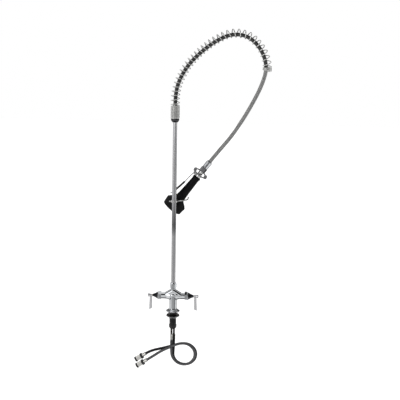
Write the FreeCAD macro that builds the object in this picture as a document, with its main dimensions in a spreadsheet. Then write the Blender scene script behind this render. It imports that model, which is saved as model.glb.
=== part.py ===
import FreeCAD, Part
import math
import os

import Sketcher
from FreeCAD import Placement, Rotation, Vector

os.makedirs("parts", exist_ok=True)

# A deck-mounted pre-rinse faucet. Millimetres, +Z up, +X towards the right-hand
# handle, -Y towards the user. The origin is the centre of the seat on the deck.

# ---------------------------------------------------------------- driving dimensions
SIZES = {
    # deck seat, valve body and shank, as heights and radii about the Z axis
    "gasket_height": 2.0,
    "gasket_radius": 25.0,
    "flange_radius": 26.5,
    "flange_edge": 3.0,
    "dome_height": 9.0,
    "stem_radius": 14.6,
    "arm_height": 64.0,
    "arm_radius": 13.0,
    "arm_reach": 46.0,
    "shoulder_reach": 28.0,
    "shoulder_height": 82.0,
    "neck_radius": 10.2,
    "neck_top": 100.0,
    "neck_bore": 5.5,
    "shank_radius": 13.2,
    "shank_bore": 10.6,
    "shank_spigot": 12.4,
    "shank_collar_radius": 14.8,
    "shank_collar_top": -52.0,
    "shank_bottom": -69.0,
    "thread_pitch": 1.8,
    "thread_depth": 0.5,
    "deck_thickness": 13.0,
    "washer_thickness": 2.5,
    "washer_radius": 24.0,
    "lock_nut_radius": 26.2,
    "lock_nut_height": 10.8,
    # quarter-turn valves, along each arm from the Z axis outwards
    "valve_floor": 26.0,
    "seal_thickness": 2.0,
    "disc_radius": 5.5,
    "disc_thickness": 3.0,
    "stem_shaft": 3.2,
    "running_gap": 0.05,
    "bonnet_flats": 31.0,
    "bonnet_end": 80.0,
    "handle_end": 98.6,
    "lever_length": 60.0,
    "lever_depth": 7.0,
    # riser and spring
    "riser_radius": 8.55,
    "riser_bore": 6.3,
    "riser_top": 770.0,
    "riser_nut_bottom": 95.5,
    "riser_nut_top": 118.0,
    "riser_nut_flats": 23.6,
    "tap_height": 107.5,
    "holder_radius": 15.9,
    "holder_bottom": 744.0,
    "holder_top": 757.0,
    "wire_radius": 1.85,
    "coil_radius": 15.1,
    # main hose
    "hose_radius": 7.5,
    "hose_start": 808.0,
    # spray valve, along its own axis from the middle of the face's rim
    "valve_tilt": 52.0,
    "face_reach": -14.0,
    "face_back": 53.0,
    "face_height": 402.0,
    "head_radius": 42.0,
    "face_radius": 39.5,
    "grip_start": 66.0,
    "grip_end": 161.0,
    "pivot_along": 166.0,
    "pivot_off": 19.5,
    "plunger_along": 54.0,
    "adapter_flats": 22.0,
    "ferrule_start": 205.0,
    "ferrule_end": 237.0,
    "hook_height": 440.0,
    # supply hoses and their fittings
    "supply_reach": 4.6,
    "supply_back": 3.8,
    "supply_tube": 4.0,
    "supply_hose": 5.2,
    "loop_reach": 46.0,
    "hot_loop_height": -168.0,
    "cold_loop_height": -173.5,
    "supply_tube_end": -93.5,
    "supply_hose_start": -117.0,
    "union_bore": 7.0,
    "union_drop": 33.0,
}

doc = FreeCAD.newDocument("pre_rinse_faucet")
sheet = doc.addObject("Spreadsheet::Sheet", "Dims")
for row, (alias, value) in enumerate(SIZES.items(), start=1):
    sheet.set(f"A{row}", alias.replace("_", " "))
    sheet.set(f"B{row}", str(value))
    sheet.setAlias(f"B{row}", alias)
doc.recompute()


class Size:
    """A length that carries the expression that works it out from the sheet."""

    def __init__(self, text, value):
        self.text = text
        self.value = value

    def joined(self, sign, other, value):
        return Size(f"({self.text} {sign} {written(other)})", value)

    def __add__(self, other):
        return self.joined("+", other, self.value + number(other))

    def __sub__(self, other):
        return self.joined("-", other, self.value - number(other))

    def __mul__(self, other):
        return self.joined("*", other, self.value * number(other))

    def __truediv__(self, other):
        return self.joined("/", other, self.value / number(other))

    def __neg__(self):
        return Size(f"(0 - {self.text})", -self.value)

    def __rsub__(self, other):
        return Size(f"({other:.6f} - {self.text})", other - self.value)


def written(size):
    return size.text if isinstance(size, Size) else f"{size:.6f}"


def number(size):
    return size.value if isinstance(size, Size) else float(size)


class Dimensions:
    """Every driving dimension of the sheet, as an attribute."""

    def __init__(self):
        for alias in SIZES:
            setattr(self, alias, Size(f"Dims.{alias}", float(sheet.get(alias))))


dim = Dimensions()
NODES = []
CUTS = []
HEX_CORNER = 1 / math.sqrt(3)


def bind(item, **sizes):
    """Sets properties to sizes, by expression where they come from the sheet."""
    for name, size in sizes.items():
        setattr(item, name, number(size))
        if isinstance(size, Size):
            item.setExpression(name, size.text)


def keep(item, label, place=None):
    """Makes an object a sub-part: its label names its file."""
    item.Label = label
    if place is not None:
        item.Placement = place
    NODES.append(item)
    return item


# ---------------------------------------------------------------- sketch helpers
def origin_plane(body, role):
    return next(item for item in body.Origin.OriginFeatures if item.Role == role)


def new_sketch(body, name, role, lift=0.0):
    """A sketch on one of the body's own planes, lifted along the plane's normal."""
    sketch = body.newObject("Sketcher::SketchObject", name)
    sketch.AttachmentSupport = (origin_plane(body, role), "")
    sketch.MapMode = "FlatFace"
    sketch.AttachmentOffset = Placement(Vector(0, 0, number(lift)), Rotation())
    if isinstance(lift, Size):
        sketch.setExpression("AttachmentOffset.Base.z", lift.text)
    return sketch


def fix_point(sketch, line, end, x, y):
    """Holds one end of a sketch edge at a place given by two sizes."""
    for kind, size, axis in (("DistanceX", x, -2), ("DistanceY", y, -1)):
        if abs(number(size)) < 1e-9:
            sketch.addConstraint(Sketcher.Constraint("PointOnObject", line, end, axis))
            continue
        index = sketch.addConstraint(
            Sketcher.Constraint(kind, -1, 1, line, end, number(size)))
        if isinstance(size, Size):
            sketch.setExpression(f"Constraints[{index}]", size.text)


def arc_middle(start, stop, radius):
    """Middle of an arc; a positive radius bulges to the right of start to stop."""
    chord = stop - start
    half = chord.Length / 2
    rise = abs(radius) - math.sqrt(max(radius * radius - half * half, 0.0))
    right = Vector(chord.y, -chord.x, 0).normalize()
    return (start + stop) * 0.5 + right * math.copysign(rise, radius)


def crown(reach, rise):
    """Radius of a dome that rises over a reach from its middle."""
    return (reach * reach + rise * rise) / (2 * rise)


def draw_outline(sketch, outline):
    """Draws a closed outline. Each corner is (x, y), or (x, y, r) where an arc of
    radius r leads from that corner to the next."""
    points = [Vector(number(corner[0]), number(corner[1]), 0) for corner in outline]
    ends = []
    for index, corner in enumerate(outline):
        start = points[index]
        stop = points[(index + 1) % len(points)]
        if len(corner) == 2:
            line = sketch.addGeometry(Part.LineSegment(start, stop))
            ends.append((line, 1, 2))
            continue
        middle = arc_middle(start, stop, number(corner[2]))
        if number(corner[2]) > 0:
            line = sketch.addGeometry(Part.Arc(start, middle, stop))
            ends.append((line, 1, 2))
        else:
            line = sketch.addGeometry(Part.Arc(stop, middle, start))
            ends.append((line, 2, 1))
        radius = abs(number(corner[2]))
        sketch.addConstraint(Sketcher.Constraint("Radius", line, radius))
    for index, (line, first, last) in enumerate(ends):
        following = ends[(index + 1) % len(ends)]
        sketch.addConstraint(
            Sketcher.Constraint("Coincident", line, last, following[0], following[1]))
        fix_point(sketch, line, first, outline[index][0], outline[index][1])


def rounded_block(half_x, half_y, radius, middle):
    """Outline of a rectangle with rounded corners, centred on the second axis."""
    low = -(half_y - middle)
    high = half_y + middle
    left = -half_x
    return [
        (left + radius, low), (half_x - radius, low, radius),
        (half_x, low + radius), (half_x, high - radius, radius),
        (half_x - radius, high), (left + radius, high, radius),
        (left, high - radius), (left, low + radius, radius)]


def circle_in(sketch, radius, x=0.0, y=0.0):
    """Draws a circle whose centre and radius follow the sheet."""
    centre = Vector(number(x), number(y), 0)
    line = sketch.addGeometry(Part.Circle(centre, Vector(0, 0, 1), number(radius)))
    index = sketch.addConstraint(Sketcher.Constraint("Radius", line, number(radius)))
    if isinstance(radius, Size):
        sketch.setExpression(f"Constraints[{index}]", radius.text)
    fix_point(sketch, line, 3, x, y)
    return line


# ---------------------------------------------------------------- feature helpers
def turned(label, outline, place=None):
    """A body turned about its own Z axis from an outline of (radius, height)."""
    body = doc.addObject("PartDesign::Body", label)
    sketch = new_sketch(body, label + "_outline", "XZ_Plane")
    draw_outline(sketch, outline)
    turn = body.newObject("PartDesign::Revolution", label + "_turned")
    turn.Profile = (sketch, [""])
    turn.ReferenceAxis = (sketch, ["V_Axis"])
    turn.Angle = 360
    return keep(body, label, place)


def pad(body, name, sketch, length, both_sides=False, backwards=False):
    feature = body.newObject("PartDesign::Pad", name)
    feature.Profile = (sketch, [""])
    feature.SideType = "Symmetric" if both_sides else "One side"
    feature.Reversed = backwards
    bind(feature, Length=length)
    return feature


def pocket(body, name, sketch, length, backwards=False, both_sides=False):
    feature = body.newObject("PartDesign::Pocket", name)
    feature.Profile = (sketch, [""])
    feature.SideType = "Symmetric" if both_sides else "One side"
    feature.Reversed = backwards
    bind(feature, Length=length)
    CUTS.append(feature)
    return feature


def hex_flats(body, flats, low, high, blank):
    """Cuts six flats on a turned blank between two heights."""
    name = body.Label + "_flats"
    sketch = new_sketch(body, name + "_outline", "XY_Plane", low)
    corners = []
    for index in range(6):
        angle = math.radians(60 * index)
        corners.append((flats * (HEX_CORNER * math.cos(angle)),
                        flats * (HEX_CORNER * math.sin(angle))))
    draw_outline(sketch, corners)
    circle_in(sketch, blank)
    return pocket(body, name, sketch, high - low, backwards=True)


def bore(body, name, role, radius, x, y, lift, depth, backwards=False, both_sides=False):
    """Cuts a round hole from a plane of the body."""
    sketch = new_sketch(body, name + "_circle", role, lift)
    circle_in(sketch, radius, x, y)
    return pocket(body, name, sketch, depth, backwards, both_sides)


def polar(body, feature, count):
    """Repeats a feature round the body's Z axis."""
    pattern = body.newObject("PartDesign::PolarPattern", feature.Name + "_round")
    pattern.Originals = [feature]
    pattern.Axis = (origin_plane(body, "Z_Axis"), [""])
    pattern.Angle = 360
    pattern.Occurrences = count
    body.Tip = pattern
    CUTS.append(pattern)
    return pattern


# Part primitives for the cast body
def cylinder(name, radius, height, base, along=Vector(0, 0, 1)):
    item = doc.addObject("Part::Cylinder", name)
    bind(item, Radius=radius, Height=height)
    item.Placement = Placement(base, Rotation(Vector(0, 0, 1), along))
    return item


def ball(name, radius, centre):
    item = doc.addObject("Part::Sphere", name)
    bind(item, Radius=radius)
    item.Placement = Placement(centre, Rotation())
    return item


def joined(name, items):
    item = doc.addObject("Part::MultiFuse", name)
    item.Shapes = items
    item.Refine = True
    return item


def less(name, base, tool):
    item = doc.addObject("Part::Cut", name)
    item.Base = base
    item.Tool = tool
    item.Refine = True
    return item


# ---------------------------------------------------------------- routes of hoses
def unit(vector):
    return Vector(vector).normalize()


def rounded_route(points):
    """Straight runs joined by tangent arcs, each as large as its runs allow."""
    edges = []
    radii = []
    here = points[0]
    for before, corner, after in zip(points, points[1:], points[2:]):
        shorter = min((corner - before).Length, (after - corner).Length)
        inwards = unit(before - corner)
        outwards = unit(after - corner)
        turn = math.pi - inwards.getAngle(outwards)
        set_back = 0.45 * shorter
        radius = set_back / math.tan(turn / 2)
        start = corner + inwards * set_back
        stop = corner + outwards * set_back
        bisector = unit(inwards + outwards)
        middle = corner + bisector * (radius / math.cos(turn / 2) - radius)
        edges.append(Part.LineSegment(here, start).toShape())
        edges.append(Part.Arc(start, middle, stop).toShape())
        radii.append(radius)
        here = stop
    edges.append(Part.LineSegment(here, points[-1]).toShape())
    return edges, radii


def swept(edges, radius):
    """A round solid along a chain of tangent edges."""
    first = edges[0]
    ring = Part.Circle(first.valueAt(first.FirstParameter),
                       first.tangentAt(first.FirstParameter), radius)
    face = Part.Face(Part.Wire(ring.toShape()))
    return Part.Wire(edges).makePipe(face)


def hose(label, points, radius):
    """A plain round hose along a route, with its volume compared."""
    edges, radii = rounded_route(points)
    solid = swept(edges, radius)
    length = sum(edge.Length for edge in edges)
    expected = math.pi * radius * radius * length
    error = abs(solid.Volume / expected - 1)
    print(f"{label}: length {length:.1f}, volume error {error:.5f}, smallest radius"
          f" {min(radii):.0f}, radii {[round(radius) for radius in radii]}")
    if error > 0.002:
        raise ValueError(f"{label}: the volume isn't section times length")
    item = doc.addObject("Part::Feature", label)
    item.Shape = solid
    item.Placement = Placement()
    keep(item, label)
    return edges


# ---------------------------------------------------------------- valve body
def make_valve_body():
    """A cast cross: domed flange and stem below, an arm each side, neck on top."""
    top = dim.gasket_height
    flange = turned("body_flange", [
        (0.0, top), (dim.flange_radius, top),
        (dim.flange_radius, top + dim.flange_edge - 0.8),
        (dim.flange_radius - 0.8, top + dim.flange_edge),
        (dim.stem_radius + 1.5, top + dim.dome_height),
        (dim.stem_radius, top + dim.dome_height + 3.0),
        (dim.stem_radius, dim.arm_height), (0.0, dim.arm_height)])
    NODES.remove(flange)
    height = dim.arm_height.value
    shoulder = dim.shoulder_reach.value
    peak = Vector(0, 0, dim.shoulder_height.value)
    solids = [flange]
    solids.append(cylinder("body_neck", dim.neck_radius, dim.neck_top - dim.arm_height,
                           Vector(0, 0, height)))
    solids.append(ball("body_peak", dim.arm_radius - 0.6, peak))
    solids.append(ball("body_middle", dim.stem_radius, Vector(0, 0, height)))
    for name, side in (("left", -1), ("right", 1)):
        bend = Vector(side * shoulder, 0, height)
        solids.append(cylinder(f"body_{name}_arm", dim.arm_radius,
                               dim.arm_reach - dim.shoulder_reach, bend,
                               Vector(side, 0, 0)))
        solids.append(cylinder(f"body_{name}_root", dim.arm_radius,
                               dim.shoulder_reach, Vector(0, 0, height),
                               Vector(side, 0, 0)))
        solids.append(ball(f"body_{name}_bend", dim.arm_radius, bend))
        flare = doc.addObject("Part::Cone", f"body_{name}_flare")
        bind(flare, Radius1=dim.arm_radius, Radius2=dim.arm_radius + 4.6, Height=14.0)
        flare.Placement = Placement(Vector(side * 25.5, 0, height),
                                    Rotation(Vector(0, 0, 1), Vector(-side, 0, 0)))
        solids.append(flare)
        slope = doc.addObject("Part::Cone", f"body_{name}_slope")
        bind(slope, Radius1=dim.arm_radius, Radius2=dim.arm_radius - 0.6)
        slope.Height = (peak - bend).Length
        slope.Placement = Placement(bend, Rotation(Vector(0, 0, 1), peak - bend))
        solids.append(slope)
    casting = joined("body_casting", solids)

    holes = [cylinder("body_outlet", dim.neck_bore, 24.0,
                      Vector(0, 0, dim.neck_top.value - 22))]
    holes.append(cylinder("body_socket", dim.shank_spigot + 0.05, 14.0,
                          Vector(0, 0, top.value - 2)))
    for name, side in (("left", -1), ("right", 1)):
        out = Vector(side, 0, 0)
        floor = Vector(side * dim.valve_floor.value, 0, height)
        holes.append(cylinder(f"body_{name}_chamber", 7.6, dim.arm_reach - dim.valve_floor,
                              floor, out))
        holes.append(cylinder(f"body_{name}_thread", 9.45, 12.0,
                              Vector(side * 36, 0, height), out))
        holes.append(cylinder(f"body_{name}_port", 2.5, 23.0,
                              Vector(side * 3.5, 0, height), out))
        start = Vector(side * 31, 0, height + 4)
        way = Vector(0, 0, dim.neck_top.value - 18) - start
        outlet = cylinder(f"body_{name}_outlet", 3.8, way.Length, start, way)
        holes.append(outlet)
        foot = Vector(side * dim.supply_reach.value, side * dim.supply_back.value, 0)
        holes.append(cylinder(f"body_{name}_supply", 3.0, dim.arm_height - 12.0,
                              foot + Vector(0, 0, 14), Vector(0, 0, 1)))
        holes.append(cylinder(f"body_{name}_check", 4.45, 16.5,
                              foot + Vector(0, 0, 12), Vector(0, 0, 1)))
    body = less("valve_body", casting, joined("body_holes", holes))
    keep(body, "valve_body")


def make_deck_pieces():
    low = -dim.deck_thickness
    under = low - dim.washer_thickness
    turned("deck_gasket", [
        (dim.shank_radius + 0.3, 0.0), (dim.gasket_radius, 0.0),
        (dim.gasket_radius, dim.gasket_height),
        (dim.shank_radius + 0.3, dim.gasket_height)])

    shank = turned("mounting_shank", [
        (dim.shank_bore, dim.shank_bottom), (dim.shank_collar_radius - 3.4, dim.shank_bottom),
        (dim.shank_collar_radius, dim.shank_bottom + 6.5),
        (dim.shank_collar_radius, dim.shank_collar_top - 1.6),
        (dim.shank_radius, dim.shank_collar_top),
        (dim.shank_radius, dim.gasket_height),
        (dim.shank_spigot, dim.gasket_height), (dim.shank_spigot, 13.8),
        (dim.shank_bore, 13.8)])
    sketch = new_sketch(shank, "shank_thread_outline", "XZ_Plane")
    half = dim.thread_pitch * 0.42
    draw_outline(sketch, [
        (dim.shank_radius + 0.2, -half - 3.0),
        (dim.shank_radius + 0.2, half - 3.0),
        (dim.shank_radius - dim.thread_depth, -3.0)])
    thread = shank.newObject("PartDesign::Groove", "shank_thread")
    thread.Profile = (sketch, [""])
    thread.ReferenceAxis = (sketch, ["V_Axis"])
    thread.Angle = 360
    CUTS.append(thread)
    turns = 26
    rows = shank.newObject("PartDesign::LinearPattern", "shank_thread_rows")
    rows.Originals = [thread]
    rows.Direction = (origin_plane(shank, "Z_Axis"), [""])
    rows.Reversed = True
    rows.Occurrences = turns
    bind(rows, Length=dim.thread_pitch * (turns - 1))
    shank.Tip = rows
    CUTS.append(rows)

    turned("clamp_washer", [
        (dim.shank_radius + 0.1, under), (dim.washer_radius, under),
        (dim.washer_radius, low), (dim.shank_radius + 0.1, low)])
    bottom = under - dim.lock_nut_height
    nut = turned("lock_nut", [
        (dim.shank_radius + 0.1, bottom), (15.0, bottom), (16.0, bottom + 1.0),
        (16.4, bottom + 2.0), (dim.lock_nut_radius - 0.6, under - 2.2),
        (dim.lock_nut_radius, under - 1.6), (dim.lock_nut_radius, under - 0.5),
        (dim.lock_nut_radius - 0.5, under), (dim.shank_radius + 0.1, under)])
    notch = bore(nut, "lock_nut_notch", "XY_Plane", 2.6, dim.lock_nut_radius + 1.0, 0.0,
                 under + 0.5, 12.0)
    polar(nut, notch, 6)


# ---------------------------------------------------------------- quarter-turn valves
def arm_place(side):
    """Local Z runs out along the arm, local X points down."""
    out = Rotation(Vector(0, 1, 0), 90 * side)
    spin = Rotation(Vector(0, 0, 1), 0 if side > 0 else 180)
    return Placement(Vector(0, 0, dim.arm_height.value), out.multiply(spin))


def make_side(name, side):
    place = arm_place(side)
    floor = dim.valve_floor
    seat = floor + dim.seal_thickness
    disc_top = seat + dim.disc_thickness
    turn_top = disc_top + dim.disc_thickness
    gap = dim.running_gap
    corner = dim.bonnet_flats * HEX_CORNER
    bonnet = turned(f"{name}_bonnet", [
        (dim.stem_shaft + gap, 48.2), (dim.stem_shaft + gap, dim.bonnet_end),
        (4.3, dim.bonnet_end), (5.0, 78.0), (7.2, 72.6, 60.0), (11.6, 64.0), (15.2, 57.5),
        (15.2, 56.2), (corner - 1.8, 56.2), (corner, 54.6), (corner, 47.4),
        (corner - 1.4, dim.arm_reach), (9.4, dim.arm_reach), (9.4, 36.2), (7.6, 36.2),
        (7.6, 48.2)], place)
    hex_flats(bonnet, dim.bonnet_flats, dim.arm_reach - 0.1, 56.4, corner + 2.0)

    sleeve = turned(f"{name}_cartridge", [
        (dim.disc_radius + 0.1, seat), (7.5, seat), (7.5, 48.1),
        (dim.stem_shaft + gap, 48.1), (dim.stem_shaft + gap, 41.0),
        (dim.disc_radius + 0.1, 41.0)], place)
    bore(sleeve, f"{name}_cartridge_window", "YZ_Plane", 2.6, 0.0, 37.0, 0.0, 9.0,
         backwards=False)

    turned_disc(f"{name}_fixed_disc", seat, disc_top, dim.disc_radius + 0.06, 2.7, place)
    turned_disc(f"{name}_turning_disc", disc_top + 0.02, turn_top, dim.disc_radius, 2.7,
                place)

    stem = turned(f"{name}_stem", [
        (0.0, turn_top), (5.2, turn_top), (5.2, turn_top + 5.0),
        (dim.stem_shaft, turn_top + 5.0), (dim.stem_shaft, dim.bonnet_end + 0.6),
        (2.8, dim.bonnet_end + 0.6), (2.8, 91.5), (0.0, 91.5)], place)
    bore(stem, f"{name}_stem_tap", "XY_Plane", 1.5, 0.0, 0.0, 91.5, 7.0)

    handle = turned(f"{name}_handle", [
        (2.85, dim.bonnet_end + 0.6), (4.5, dim.bonnet_end + 0.6),
        (4.7, 84.5), (5.5, 90.0, 40.0), (7.0, dim.handle_end - 1.6),
        (7.0, dim.handle_end - 0.5), (6.5, dim.handle_end), (5.5, dim.handle_end),
        (5.5, 95.4), (3.3, 95.4), (3.3, 92.5), (1.8, 92.5), (1.8, 91.6), (2.85, 91.6)],
        place)
    roots = ((3.4, 4.8, 86.5), (dim.lever_length, 5.6, 88.5))
    sections = []
    for index, (down, half_width, middle) in enumerate(roots):
        sketch = new_sketch(handle, f"{name}_lever_section_{index}", "YZ_Plane", down)
        draw_outline(sketch, rounded_block(dim.lever_depth / 2, half_width, 2.6, middle))
        sections.append(sketch)
    lever = handle.newObject("PartDesign::AdditiveLoft", f"{name}_lever")
    lever.Profile = (sections[0], [""])
    lever.Sections = [(sections[1], [""])]
    lever.Ruled = True
    sketch = new_sketch(handle, f"{name}_lever_tip_outline", "XZ_Plane")
    draw_outline(sketch, [
        (dim.lever_length - 7.7, 80.0), (dim.lever_length + 5.0, 80.0),
        (dim.lever_length + 5.0, 99.5), (dim.lever_length + 0.4, 99.5)])
    pocket(handle, f"{name}_lever_tip", sketch, 12.0, both_sides=True)

    turned(f"{name}_handle_screw", [
        (0.0, 84.9), (1.45, 84.9), (1.45, 92.6), (3.2, 92.6), (3.2, 94.6), (1.6, 94.6),
        (1.6, 93.4), (0.0, 93.4)], place)
    turned(f"{name}_index_cap", [
        (0.0, 95.5), (5.45, 95.5), (5.45, 98.4),
        (4.8, dim.handle_end + 0.5, crown(4.8, 0.5)), (0.0, dim.handle_end + 1.0)], place)
    return place


def turned_disc(label, low, high, radius, port, place):
    """A ceramic disc with two kidney ports, here round holes."""
    disc = turned(label, [(0.0, low), (radius, low), (radius, high), (0.0, high)], place)
    hole = bore(disc, label + "_port", "XY_Plane", 1.6, port, 0.0, low, high - low,
                backwards=True)
    polar(disc, hole, 2)


def paired(label, outline, places):
    """Two identical solids in one node, one per place."""
    solids = []
    for index, place in enumerate(places):
        piece = turned(f"{label}_{index + 1}", outline, place)
        NODES.remove(piece)
        solids.append(piece)
    group = doc.addObject("Part::Compound", label)
    group.Links = solids
    keep(group, label)


# ---------------------------------------------------------------- riser
def make_riser():
    seal_low = dim.neck_top
    flange_low = seal_low + 1.0
    flange_top = flange_low + 3.0
    turned("riser_seal", [
        (6.4, seal_low), (10.1, seal_low), (10.1, flange_low - 0.02),
        (6.4, flange_low - 0.02)])
    corner = dim.riser_nut_flats * HEX_CORNER
    bottom = dim.riser_nut_bottom
    top = dim.riser_nut_top
    nut = turned("riser_nut", [
        (dim.neck_radius + 0.08, bottom), (corner - 2.4, bottom), (corner, bottom + 4.0),
        (corner, top - 8.0), (corner - 3.2, top), (dim.riser_radius + 0.1, top),
        (dim.riser_radius + 0.1, flange_top + 0.1),
        (dim.neck_radius + 0.08, flange_top + 0.1)])
    hex_flats(nut, dim.riser_nut_flats, bottom - 0.1, top + 0.1, corner + 2.0)
    bore(nut, "riser_nut_tap", "XZ_Plane", 2.1, 0.0, dim.tap_height, 0.0, 14.0,
         backwards=True)
    turned("riser_set_screw", [
        (0.0, 8.75), (1.2, 8.75), (2.0, 9.5), (2.0, 12.2), (1.2, 12.2), (1.2, 11.0),
        (0.0, 11.0)],
        Placement(Vector(0, 0, dim.tap_height.value), Rotation(Vector(1, 0, 0), 90)))
    turned("riser_pipe", [
        (dim.riser_bore, flange_low), (10.1, flange_low), (10.1, flange_top),
        (dim.riser_radius, flange_top), (dim.riser_radius, dim.riser_top),
        (dim.riser_bore, dim.riser_top)])

    inner = dim.riser_radius + 0.05
    turned("spring_holder", [
        (inner, dim.holder_bottom), (9.8, dim.holder_bottom),
        (10.6, dim.holder_bottom + 0.6, 16.0), (dim.holder_radius, dim.holder_top - 3.4),
        (dim.holder_radius, dim.holder_top - 0.6),
        (dim.holder_radius - 0.6, dim.holder_top), (13.0, dim.holder_top),
        (13.0, dim.holder_top + 11.0), (12.4, dim.holder_top + 11.6),
        (inner, dim.holder_top + 11.6)])

    flats = 20.0
    nut_top = dim.hose_start - 21.0
    fitting = turned("hose_top_fitting", [
        (5.5, dim.riser_top + 0.05), (11.5, dim.riser_top + 0.05),
        (11.5, nut_top - 0.8), (10.8, nut_top), (9.4, nut_top),
        (9.4, dim.hose_start), (5.5, dim.hose_start)])
    sketch = new_sketch(fitting, "hose_top_flats_outline", "XY_Plane", dim.riser_top)
    draw_outline(sketch, [
        (flats * HEX_CORNER * math.cos(math.radians(60 * index)),
         flats * HEX_CORNER * math.sin(math.radians(60 * index))) for index in range(6)])
    circle_in(sketch, 14.0)
    pocket(fitting, "hose_top_flats", sketch, nut_top - dim.riser_top, backwards=True)


def make_hook():
    """A clamp ring on the riser with a bent finger that cradles the spray valve."""
    height = dim.hook_height.value
    ring = turned("hook_ring", [
        (dim.riser_radius + 0.1, dim.hook_height - 3.5), (11.9, dim.hook_height - 3.5),
        (12.5, dim.hook_height - 2.9), (12.5, dim.hook_height + 2.9),
        (11.9, dim.hook_height + 3.5), (dim.riser_radius + 0.1, dim.hook_height + 3.5)])
    NODES.remove(ring)
    bore(ring, "hook_ring_tap", "XZ_Plane", 1.9, 0.0, dim.hook_height, 0.0, 14.0,
         backwards=True)
    stub = cylinder("hook_stub", 2.6, 10.0, Vector(-19.5, -3, height - 0.4),
                    Vector(1, 0.15, 0.03))
    edges, _ = rounded_route([
        Vector(10.4, 1, height), Vector(21, 20, height - 1), Vector(38, 30, height - 1.5),
        Vector(50, 37, height), Vector(51.5, 40, height + 9)])
    finger = doc.addObject("Part::Feature", "hook_bend")
    finger.Shape = swept(edges, 2.5)
    tip = ball("hook_tip", 2.5, Vector(51.5, 40, height + 9))
    keep(joined("finger_hook", [ring, stub, finger, tip]), "finger_hook")
    turned("hook_screw", [
        (0.0, 8.7), (1.8, 8.7), (1.8, 13.0), (2.8, 13.0), (2.8, 15.4), (1.3, 15.4),
        (1.3, 14.2), (0.0, 14.2)],
        Placement(Vector(0, 0, height), Rotation(Vector(1, 0, 0), 90)))


# ---------------------------------------------------------------- spray valve
VALVE_PLACE = Placement(
    Vector(dim.face_reach.value, dim.face_back.value, dim.face_height.value),
    Rotation(Vector(0, 1, 0), 90 - dim.valve_tilt.value))


def on_valve_axis(distance):
    return VALVE_PLACE.multVec(Vector(0, 0, distance))


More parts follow.
